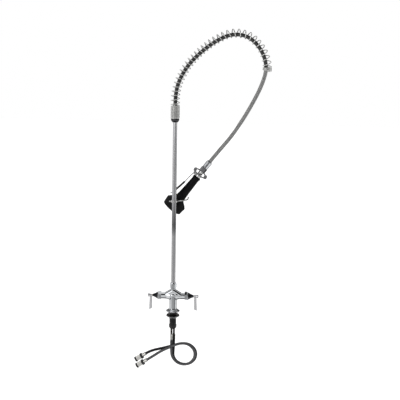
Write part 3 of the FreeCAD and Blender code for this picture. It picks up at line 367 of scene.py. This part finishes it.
def rimmed_nickel(name, nut_end):
    """Bright nickel whose last few millimetres carry a painted dark reflection in black."""
    material, tree, shader = new_finish(name, Metallic=1.0)
    place = add_node(tree, "ShaderNodeTexCoord").outputs["Object"]
    offset = add_node(tree, "ShaderNodeVectorMath", {
        0: place, 1: nut_end * MM}, operation="SUBTRACT")
    reach = add_node(tree, "ShaderNodeVectorMath", {
        0: offset, 1: UNION_AXIS}, operation="DOT_PRODUCT").outputs["Value"]
    rim = add_node(tree, "ShaderNodeMapRange", {
        "Value": reach, "From Min": -RIM_START, "From Max": -RIM_FULL})
    grain = mottled(tree, 3.0)
    # The black at the open end is a painted dark reflection.
    colour = add_node(tree, "ShaderNodeMix", {
        0: rim, 6: tinted(tree, grain, ("#D0CFCB", "#B8B7B3")), 7: linear("#1B1B1B")},
        data_type="RGBA")
    tree.links.new(colour.outputs[2], shader.inputs["Base Color"])
    roughened(tree, shader, grain, (0.12, 0.24), 0.015)
    return material


# A painted dark reflection, black against bright, so that each nut's end reads as a dark
# ring.
FINISHES["hot_nut"] = rimmed_nickel(
    "nickel_with_painted_dark_rim_hot", HOT_END + UNION_AXIS * UNION_REACH)
FINISHES["cold_nut"] = rimmed_nickel(
    "nickel_with_painted_dark_rim_cold", COLD_END + UNION_AXIS * UNION_REACH)
print(len(FINISHES), "metal finishes")

# %% [markdown]
# The parts that are not metal. Moulded rubber is nearly black and scatters light from
# the fine pebble of its mould; glass-filled nylon is a little harder and glossier, and
# vinyl is in between. The real pebble is about a tenth of a millimetre, and it is drawn
# coarser here so that it can show. Lapped ceramic, inside the valves, is smooth.

# %% Rubber, plastics and ceramic
# Almost pure black, with no clear highlight.
FINISHES["rubber"] = simple_finish(
    "moulded_black_rubber", ("#09090A", "#040405"), (0.46, 0.62), 5.0, 0.02,
    fine_mm=0.6, Metallic=0.0, IOR=1.52, Specular_IOR_Level=0.1)
# As black as the rubber, and a little smoother to the eye.
FINISHES["grip"] = simple_finish(
    "moulded_grip_elastomer", ("#080809", "#030304"), (0.40, 0.56), 6.0, 0.02,
    fine_mm=0.7, Metallic=0.0, IOR=1.50, Specular_IOR_Level=0.1)
# Hard black plastic with a soft sheen.
FINISHES["nylon"] = simple_finish(
    "glass_filled_nylon", ("#151617", "#0C0D0E"), (0.30, 0.44), 3.0, 0.015,
    fine_mm=0.5, Metallic=0.0, IOR=1.53, Specular_IOR_Level=0.35)
# A thick soft coat whose edges round off.
FINISHES["dark_vinyl"] = simple_finish(
    "dipped_black_vinyl", ("#1D1D1E", "#121213"), (0.34, 0.48), 4.0, 0.03,
    fine_mm=0.8, Metallic=0.0, IOR=1.53, Specular_IOR_Level=0.3)
# A flat mid grey between the bright wire and the black grip.
FINISHES["grey_vinyl"] = simple_finish(
    "grey_vinyl_tube", ("#6E6E70", "#5A5A5C"), (0.38, 0.52), 3.0, 0.02,
    fine_mm=0.6, Metallic=0.0, IOR=1.53)
# White and smooth, like glazed china.
FINISHES["ceramic"] = simple_finish(
    "lapped_alumina", ("#F1EFE9", "#E7E4DC"), (0.12, 0.20), 2.0, 0.003,
    Metallic=0.0, IOR=1.76)
print(len(FINISHES), "finishes")

# %% [markdown]
# Each solid part now gets its finish. One table lists the parts under the finish they
# wear, as a finisher's sheet does, so that no part is left out and none is named twice.
# The three hoses stay bare, because finer pieces will stand for them.

# %% Dress the solid parts
WORN = {
    "chrome": ["valve_body", "left_index_cap", "right_index_cap", "riser_nut"],
    "brushed_chrome": ["left_handle", "right_handle"],
    "bonnet_chrome": ["left_bonnet", "right_bonnet"],
    "satin": ["riser_pipe"],
    "black_steel": ["spring_holder"],
    "sheet_steel": ["squeeze_lever", "hold_down_ring", "hose_end_ferrule",
                    "hose_adapter"],
    "turned_steel": ["hose_top_fitting", "finger_hook", "hook_screw", "spray_valve_body",
                     "lever_pivot_pin", "face_screw",
                     "left_handle_screw", "right_handle_screw", "riser_set_screw"],
    "nickel": ["hot_lower_ferrule", "cold_lower_ferrule", "hot_upper_ferrule"],
    "hot_nut": ["hot_union_nut"],
    "cold_nut": ["cold_union_nut"],
    "spring": ["overhead_spring", "plunger_spring"],
    "zinc": ["lock_nut"],
    "brass": ["left_stem", "right_stem", "left_cartridge", "right_cartridge",
              "valve_plunger", "packing_nut"],
    "dark_tube": ["hot_supply_stem", "cold_supply_stem", "cold_upper_ferrule"],
    "rubber": ["deck_gasket", "clamp_washer", "spray_head", "riser_seal", "seat_seals",
               "union_washers"],
    "grip": ["grip_sleeve"],
    "nylon": ["mounting_shank", "spray_face", "hot_tailpiece", "cold_tailpiece",
              "check_valves"],
    "ceramic": ["left_fixed_disc", "right_fixed_disc", "left_turning_disc",
                "right_turning_disc"],
}


def dress(piece, material):
    """Gives a piece one finish."""
    piece.data.materials.clear()
    piece.data.materials.append(material)


for finish, names in WORN.items():
    for name in names:
        dress(NODES[name], FINISHES[finish])
undressed = sorted(set(NODES) - {name for names in WORN.values() for name in names})
print("still to be replaced:", undressed)

# %% [markdown]
# The main hose is stainless strip wound so that each turn hooks into the last. Its
# outside is a row of rounded ribs, about three millimetres apart. The ribs follow the
# hose's curve, so they are made with Geometry Nodes: the line is divided evenly, its
# thickness rises and falls with each division, and a round section is swept along it.
# The braid of the supplies is the same tree with a finer and shallower ripple.

# %% A tree that sweeps a ribbed hose along a line
def named_inputs(tree, sizes):
    """Adds a float input for each size, and a material input."""
    tree.interface.new_socket("Geometry", in_out="INPUT", socket_type="NodeSocketGeometry")
    for name, value in sizes.items():
        socket = tree.interface.new_socket(name, in_out="INPUT",
                                           socket_type="NodeSocketFloat")
        socket.default_value = value
    tree.interface.new_socket("Finish", in_out="INPUT", socket_type="NodeSocketMaterial")
    tree.interface.new_socket("Geometry", in_out="OUTPUT",
                              socket_type="NodeSocketGeometry")
    return add_node(tree, "NodeGroupInput")


STEPS_PER_RIB = 6
SECTION_POINTS = 20
hose_tree = bpy.data.node_groups.new("ribbed hose", "GeometryNodeTree")
given = named_inputs(hose_tree, {"Radius": 0.0075, "Rib spacing": 0.003,
                                 "Rib depth": 0.0005, "Spring shade length": 0.0})
step = add_node(hose_tree, MATH, {
    0: given.outputs["Rib spacing"], 1: STEPS_PER_RIB}, operation="DIVIDE")
divided = add_node(hose_tree, "GeometryNodeResampleCurve",
                   {"Curve": given.outputs["Geometry"], "Length": step}, mode="LENGTH")
# Half a wave for each rib: 1 on its crest, 0 in the groove beside it.
half_turns = add_node(hose_tree, MATH, {
    0: add_node(hose_tree, "GeometryNodeInputIndex"), 1: math.pi / STEPS_PER_RIB},
    operation="MULTIPLY")
wave = add_node(hose_tree, MATH, {
    0: add_node(hose_tree, MATH, {0: half_turns}, operation="COSINE")},
    operation="ABSOLUTE")
sunk = add_node(hose_tree, MATH, {
    0: add_node(hose_tree, MATH, {0: 1.0, 1: wave}, operation="SUBTRACT"),
    1: given.outputs["Rib depth"]}, operation="MULTIPLY")
thickness = add_node(hose_tree, MATH, {
    0: given.outputs["Radius"], 1: sunk}, operation="SUBTRACT")
# Marks the stretch inside the open spring, which the finish darkens as painted shadow of
# the coils.
so_far = add_node(hose_tree, "GeometryNodeSplineParameter").outputs["Length"]
spring_shade = add_node(hose_tree, MATH, {
    0: so_far, 1: given.outputs["Spring shade length"]}, operation="LESS_THAN")
marked = divided
for name, value in (("groove", wave), ("spring_shade", spring_shade)):
    marked = add_node(hose_tree, "GeometryNodeStoreNamedAttribute",
                      {"Geometry": marked, "Name": name, "Value": value},
                      data_type="FLOAT", domain="POINT")
section = add_node(hose_tree, "GeometryNodeCurvePrimitiveCircle",
                   {"Resolution": SECTION_POINTS, "Radius": 1.0})
swept = add_node(hose_tree, "GeometryNodeCurveToMesh",
                 {"Curve": marked, "Profile Curve": section, "Scale": thickness,
                  "Fill Caps": True})
smooth = add_node(hose_tree, "GeometryNodeSetShadeSmooth",
                  {"Geometry": swept, "Shade Smooth": True})
real = add_node(hose_tree, "GeometryNodeRealizeInstances", {0: smooth})
coated = add_node(hose_tree, "GeometryNodeSetMaterial",
                  {"Geometry": real, "Material": given.outputs["Finish"]})
add_node(hose_tree, "NodeGroupOutput", {0: coated})
print("hose tree has", len(hose_tree.nodes), "nodes")

# %% [markdown]
# The hoses' jackets are steel: wound strip on the main hose, fine braid on the
# supplies. The grooves between the ribs get painted shade, so the tree above stores how
# high each point is, and the finish reads it: bright on the crests, dark in the grooves.
# It also stores the stretch inside the open spring, where the spring's shadow is painted
# darker.

# %% Finishes for the hoses
# How far the painted shadow of the spring coils darkens the hose inside the spring.
SPRING_SHADE_SHARE = 0.8


def jacket_finish(name, colours, roughness, grain_mm):
    """Steel with painted shade in the grooves between the ribs, and a darker stretch of
    painted spring shadow.
    """
    material, tree, shader = new_finish(name, Metallic=1.0)
    crest = add_node(tree, "ShaderNodeAttribute", attribute_name="groove").outputs["Fac"]
    spring_shade = add_node(tree, "ShaderNodeAttribute", attribute_name="spring_shade").outputs["Fac"]
    share = add_node(tree, MATH, {0: spring_shade, 1: SPRING_SHADE_SHARE}, operation="MULTIPLY")
    # Painted shade in the grooves, and painted shadow of the coils over the stretch inside
    # the spring.
    spring_shaded = add_node(tree, "ShaderNodeMix", {
        0: share, 6: tinted(tree, crest, colours, low=0.1, high=0.9),
        7: linear("#1C1C1C")}, data_type="RGBA")
    tree.links.new(spring_shaded.outputs[2], shader.inputs["Base Color"])
    roughened(tree, shader, mottled(tree, grain_mm), roughness, 0.01)
    return material


# Bright ribs with painted shade in the grooves between them.
FINISHES["jacket"] = jacket_finish("wound_stainless_strip", ("#2A2A2A", "#ADADAC"),
                                   (0.24, 0.38), 1.5)
# A grey hose with a fine, even ripple.
FINISHES["grey_braid"] = jacket_finish("grey_braided_steel", ("#1E1E1F", "#6C6C6E"),
                                       (0.30, 0.46), 1.2)
# Nearly black, so that the two supplies are told apart.
FINISHES["dark_braid"] = jacket_finish("dark_braided_steel", ("#0C0C0D", "#343436"),
                                       (0.30, 0.46), 1.2)
print(len(FINISHES), "finishes with the jackets")

# %% [markdown]
# Now the tree runs on each line, with its own radius, rib spacing and finish. The
# result is kept as a plain mesh and rides on the body that its ends are fixed to, so it
# moves with it.

# %% Make the three hoses
def run_tree(source, tree, name, body, values):
    """Runs a tree on an object and keeps the result as a plain mesh on a body."""
    modifier = source.modifiers.new("tree", "NODES")
    modifier.node_group = tree
    keys = {item.name: item.identifier for item in tree.interface.items_tree
            if item.in_out == "INPUT"}
    for key, value in values.items():
        modifier[keys[key]] = value
    depsgraph = bpy.context.evaluated_depsgraph_get()
    mesh = bpy.data.meshes.new_from_object(source.evaluated_get(depsgraph))
    mesh.name = name
    bpy.data.objects.remove(source)
    piece = bpy.data.objects.new(name, mesh)
    bpy.context.scene.collection.objects.link(piece)
    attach(piece, body)
    print(name, "has", len(mesh.polygons), "faces")
    return piece


# Body, radius, rib spacing, rib depth and painted spring-shadow length in millimetres, and
# finish.
HOSES = {
    "main_hose": ("riser", 7.5, 3.0, 0.7, 566.0, "jacket"),
    "hot_supply_hose": ("base", 5.2, 1.8, 0.25, 0.0, "grey_braid"),
    "cold_supply_hose": ("base", 5.2, 1.8, 0.25, 0.0, "dark_braid"),
}
for name, (body, radius, spacing, depth, spring_shade, finish) in HOSES.items():
    run_tree(lines[name], hose_tree, name + "_jacket", body, {
        "Radius": radius * MM, "Rib spacing": spacing * MM, "Rib depth": depth * MM,
        "Spring shade length": spring_shade * MM, "Finish": FINISHES[finish]})
    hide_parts(name)

for side in ("hot", "cold"):
    name = side + "_supply_hose"

# %% [markdown]
# Soft pieces are slipped over some of the solid ones. Each is a skin over a row of
# closed rings, which is the simplest way to carry a section that changes its size and
# place. Their places are given along and across the spray valve, since it is tilted.

# %% Helpers for soft pieces
VALVE_ACROSS = Vector((math.sin(VALVE_TILT), 0.0, -math.cos(VALVE_TILT)))


def on_valve(across, depth, along):
    """A place given in the spray valve's own directions, in metres."""
    return (VALVE_FACE + VALVE_ACROSS * across + Vector((0, depth, 0))
            + VALVE_AXIS * along) * MM


def skinned(name, rings, material, body):
    """A smooth skin over rings of points, with a cap at each end."""
    size = len(rings[0])
    vertices = [point for ring in rings for point in ring]
    faces = []
    for first in range(0, len(vertices) - size, size):
        second = first + size
        for index in range(size):
            after = (index + 1) % size
            faces.append((first + index, first + after, second + after, second + index))
    faces.append(tuple(range(size)))
    faces.append(tuple(range(len(vertices) - size, len(vertices))))
    shape = bmesh.new()
    points = [shape.verts.new(point) for point in vertices]
    for face in faces:
        shape.faces.new([points[index] for index in face])
    bmesh.ops.recalc_face_normals(shape, faces=shape.faces[:])
    mesh = bpy.data.meshes.new(name)
    shape.to_mesh(mesh)
    shape.free()
    for polygon in mesh.polygons:
        polygon.use_smooth = len(polygon.vertices) == 4
    piece = bpy.data.objects.new(name, mesh)
    bpy.context.scene.collection.objects.link(piece)
    dress(piece, material)
    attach(piece, body)
    print(name, "has", len(mesh.polygons), "faces")


RING_TURNS = range(0, 360, 15)
print("each ring has", len(RING_TURNS), "points")

# %% [markdown]
# The squeeze lever is a bent strip of sheet, dipped in vinyl where the fingers pull. The
# pad is a rounded rectangle carried along the lever's own bends. Its first and last
# rings shrink to the strip, so that the ends close as a dipped coat does.

# %% Pad of the squeeze lever
# The lever's inner face: places along the valve, and how far off its axis.
LEVER_BENDS = [(165.0, 19.6), (150.0, 22.2), (112.0, 25.2), (78.0, 30.4), (54.0, 34.6)]
LEVER_THICKNESS = 2.3
LEVER_HALF_WIDTH = 5.5
COAT = 2.3
CORNER_SHARE = 0.85


def lever_offset(along):
    """How far the lever's inner face stands off the valve's axis."""
    for (high, near), (low, far) in zip(LEVER_BENDS, LEVER_BENDS[1:]):
        if low <= along <= high:
            return near + (far - near) * (high - along) / (high - low)
    raise ValueError("past the lever's end")


def pad_ring(along, share):
    """A rounded rectangle round the lever, under a share of the full coat."""
    margin = COAT * share
    middle = -lever_offset(along) - LEVER_THICKNESS / 2
    half_thick = LEVER_THICKNESS / 2 + margin
    half_wide = LEVER_HALF_WIDTH + margin
    corner = half_thick * CORNER_SHARE
    points = []
    for turn in RING_TURNS:
        angle = math.radians(turn + RING_TURNS.step / 2)
        x = math.copysign(half_thick - corner, math.cos(angle)) + corner * math.cos(angle)
        y = math.copysign(half_wide - corner, math.sin(angle)) + corner * math.sin(angle)
        points.append(on_valve(middle + x, y, along))
    return points


# Places along the valve, and the share of the coat there.
PAD_STATIONS = [(66.0, 0.05), (66.4, 0.6), (67.4, 1.0), (78.0, 1.0), (90.0, 1.0),
                (101.0, 1.0), (112.0, 1.0), (113.4, 1.0), (114.4, 0.6), (114.8, 0.05)]
skinned("lever_pad", [pad_ring(*station) for station in PAD_STATIONS],
        FINISHES["dark_vinyl"], "valve_lever")

# %% [markdown]
# The hold-down ring is a tilted wire ring that flips over the lever. A short vinyl tube
# on each side gives the fingers a hold. Each tube follows an arc of the ring, and its
# rings shrink at both ends, so that the tube rounds off on to the wire.

# %% Tubes on the hold-down ring
RING_RADIUS = 25.0
RING_ALONG = 177.5
RING_TILT = math.radians(12.0)
# Degrees from the middle of the tube, and the tube's radius there.
TUBE_STATIONS = [(-19, 2.75), (-18.5, 5.2), (-16.5, 6.1), (-12, 6.2), (-6, 6.2), (0, 6.2),
                 (6, 6.2), (12, 6.2), (16.5, 6.1), (18.5, 5.2), (19, 2.75)]


def tube_ring(degrees, radius):
    """A round section of a tube, at an angle round the tilted ring."""
    angle = math.radians(degrees)
    points = []
    for turn in RING_TURNS:
        around = math.radians(turn)
        reach = RING_RADIUS + radius * math.cos(around)
        lift = radius * math.sin(around)
        depth = reach * math.sin(angle)
        points.append(on_valve(
            reach * math.cos(angle),
            depth * math.cos(RING_TILT) - lift * math.sin(RING_TILT),
            RING_ALONG + depth * math.sin(RING_TILT) + lift * math.cos(RING_TILT)))
    return points


for side, middle in (("left", 180.0), ("right", 0.0)):
    skinned("ring_tube_" + side,
            [tube_ring(middle + degrees, radius) for degrees, radius in TUBE_STATIONS],
            FINISHES["grey_vinyl"], "ring")

# %% [markdown]
# The ferrule at the end of the main hose is pressed on by a crimping tool, whose
# six jaws leave six ridges along it. Instance on Points repeats one ridge round a
# circle. The tree works upright at the origin, and its result is then put in place.

# %% Crimp ridges on the hose ferrule
crimp_tree = bpy.data.node_groups.new("crimp ridges", "GeometryNodeTree")
given = named_inputs(crimp_tree, {"Count": 6.0, "Radius": 0.0102, "Length": 0.026,
                                  "Width": 0.0072, "Height": 0.0030})
count = add_node(crimp_tree, "FunctionNodeFloatToInt", {0: given.outputs["Count"]})
circle = add_node(crimp_tree, "GeometryNodeCurvePrimitiveCircle",
                  {"Resolution": count, "Radius": given.outputs["Radius"]})
size = add_node(crimp_tree, "ShaderNodeCombineXYZ", {
    0: given.outputs["Height"], 1: given.outputs["Width"], 2: given.outputs["Length"]})
block = add_node(crimp_tree, "GeometryNodeMeshCube", {
    "Size": size, "Vertices X": 3, "Vertices Y": 3, "Vertices Z": 6})
spots = add_node(crimp_tree, "GeometryNodeCurveToPoints", {0: circle}, mode="EVALUATED")
facing = add_node(crimp_tree, "FunctionNodeAlignRotationToVector", {
    "Vector": add_node(crimp_tree, "GeometryNodeInputPosition")},
    axis="X", pivot_axis="Z")
repeated = add_node(crimp_tree, "GeometryNodeInstanceOnPoints", {
    "Points": spots, "Instance": block, "Rotation": facing})
ridges = add_node(crimp_tree, "GeometryNodeRealizeInstances", {0: repeated})
coated = add_node(crimp_tree, "GeometryNodeSetMaterial",
                  {"Geometry": ridges, "Material": given.outputs["Finish"]})
add_node(crimp_tree, "NodeGroupOutput", {0: coated})


def put_at(piece, place, across, upward):
    """Moves a piece's points so that its own X and Z run along two directions."""
    columns = Matrix((across, upward.cross(across), upward)).transposed()
    piece.data.transform(Matrix.Translation(place) @ columns.to_4x4())


FERRULE_MIDDLE = 220.5
seed = bpy.data.objects.new("seed", bpy.data.meshes.new("seed"))
bpy.context.scene.collection.objects.link(seed)
crimps = run_tree(seed, crimp_tree, "ferrule_crimps", "riser",
                  {"Finish": FINISHES["chrome"]})
put_at(crimps, on_valve(0, 0, FERRULE_MIDDLE), VALVE_ACROSS, VALVE_AXIS)

# %% [markdown]
# A catalogue view stands on white. The floor is one wide sheet of matte paper below the
# hoses, with a little light of its own, so that it stays white under the faucet. There
# is no wall: the world is white behind it, and the two meet without a seam. One soft
# lamp from the upper left gives the rubber and the braid their shape.

# %% Floor and lamp
FLOOR_LEVEL = -0.30
FLOOR_REACH = 8.0
LAMP_WATTS = 26

# White without a shine, so that the floor can't be told from the background.
floor_paper = new_finish("matte_studio_paper", Base_Color=linear("#F6F6F6"), Roughness=0.9,
                         Emission_Color=linear("#FFFFFF"), Emission_Strength=0.42)[0]
floor_mesh = bpy.data.meshes.new("floor")
floor_mesh.from_pydata([(x * FLOOR_REACH, y * FLOOR_REACH, FLOOR_LEVEL) for x, y in (
    (-1, -1), (1, -1), (1, 1), (-1, 1))], [], [(0, 1, 2, 3)])
floor_mesh.materials.append(floor_paper)
floor = bpy.data.objects.new("floor", floor_mesh)
bpy.context.scene.collection.objects.link(floor)


def soft_light(name, place, target, size, watts):
    """A rectangular lamp that faces a target."""
    light = bpy.data.lights.new(name, "AREA")
    light.shape = "RECTANGLE"
    light.size, light.size_y = size
    light.energy = watts
    lamp = bpy.data.objects.new(name, light)
    lamp.location = place
    lamp.rotation_mode = "QUATERNION"
    way = Vector(target) - Vector(place)
    lamp.rotation_quaternion = way.to_track_quat("-Z", "Y")
    bpy.context.scene.collection.objects.link(lamp)


soft_light("key", (-2.2, -2.6, 1.4), (0.1, 0, 0.5), (1.4, 2.6), LAMP_WATTS)
print("floor and lamp are in place")

# %% [markdown]
# A bright metal shows what stands around it more than its own colour. What it mirrors
# here is a room of white cloth with dark gaps in it, so that its edges draw themselves
# in dark lines: a gap between the front cloth and the overhead one, a low one in front,
# one on each side in front and behind, and the dark floor below. A world shader paints
# them by direction, and only glossy rays see it. Other rays see plain white.

# %% Helpers for the room
def band(tree, value, low, high, soft):
    """1 between two angles in degrees, 0 outside them, with soft edges."""
    edges = [add_node(tree, "ShaderNodeMapRange", {
        "Value": value, "From Min": middle - soft, "From Max": middle + soft},
        interpolation_type="SMOOTHSTEP") for middle in (low, high)]
    return add_node(tree, MATH, {0: edges[0], 1: edges[1]}, operation="SUBTRACT")


def dimmed(tree, brightness, mask, level):
    """Lowers the brightness to a share of itself where the mask is 1."""
    loss = add_node(tree, MATH, {0: mask, 1: 1 - level}, operation="MULTIPLY")
    kept = add_node(tree, MATH, {0: 1.0, 1: loss}, operation="SUBTRACT")
    return add_node(tree, MATH, {0: brightness, 1: kept}, operation="MULTIPLY")


TO_DEGREES = 180 / math.pi
print("one radian is", round(TO_DEGREES, 1), "degrees")

# %% The room that the metal mirrors
world = bpy.data.worlds.new("white room")
world.use_nodes = True
room = world.node_tree
room.nodes.clear()
towards = add_node(room, "ShaderNodeSeparateXYZ", {
    0: add_node(room, "ShaderNodeTexCoord").outputs["Generated"]}).outputs
rise = add_node(room, MATH, {0: towards[2]}, operation="ARCSINE")
height = add_node(room, MATH, {0: rise, 1: TO_DEGREES}, operation="MULTIPLY")
forwards = add_node(room, MATH, {0: towards[1], 1: -1.0}, operation="MULTIPLY")
around = add_node(room, MATH, {0: towards[0], 1: forwards}, operation="ARCTAN2")
turn = add_node(room, MATH, {0: around, 1: TO_DEGREES}, operation="MULTIPLY")

CLOTH_BRIGHTNESS = 1.15
ROOM_FILL = 0.85
# Each gap: its turn and its height as low, high and softness in degrees, and the share
# of the brightness that is left in it.
GAPS = {
    "under the overhead cloth": ((-95, 95, 12), (22, 70, 3), 0.02),
    "low in front": ((-34, 70, 12), (-21, -5, 3), 0.42),
    "front right": ((44, 62, 4), (-25, 30, 4), 0.18),
    "front left": ((-66, -50, 4), (-25, 30, 4), 0.25),
    "back right": ((122, 164, 4), (-55, 50, 10), 0.06),
    "back left": ((-164, -128, 4), (-55, 50, 10), 0.18),
}
glow = CLOTH_BRIGHTNESS
for turns, heights, left in GAPS.values():
    gap = add_node(room, MATH, {
        0: band(room, turn, *turns), 1: band(room, height, *heights)},
        operation="MULTIPLY")
    glow = dimmed(room, glow, gap, left)
# Everything steeply below is the dark floor.
glow = dimmed(room, glow, band(room, height, -200, -62, 5), 0.05)
white = linear("#FFFFFF")
mirrored = add_node(room, "ShaderNodeBackground", {"Color": white, "Strength": glow})
ray = add_node(room, "ShaderNodeLightPath").outputs
extra = add_node(room, MATH, {0: ray["Is Camera Ray"], 1: 1 - ROOM_FILL},
                 operation="MULTIPLY")
plain_strength = add_node(room, MATH, {0: ROOM_FILL, 1: extra}, operation="ADD")
plain = add_node(room, "ShaderNodeBackground", {"Color": white, "Strength": plain_strength})
both = add_node(room, "ShaderNodeMixShader", {
    0: ray["Is Glossy Ray"], 1: plain, 2: mirrored})
add_node(room, "ShaderNodeOutputWorld", {"Surface": both})
bpy.context.scene.world = world
floor.visible_glossy = False
bpy.context.scene.view_settings.view_transform = "Standard"
print("the room has", len(GAPS), "dark gaps")
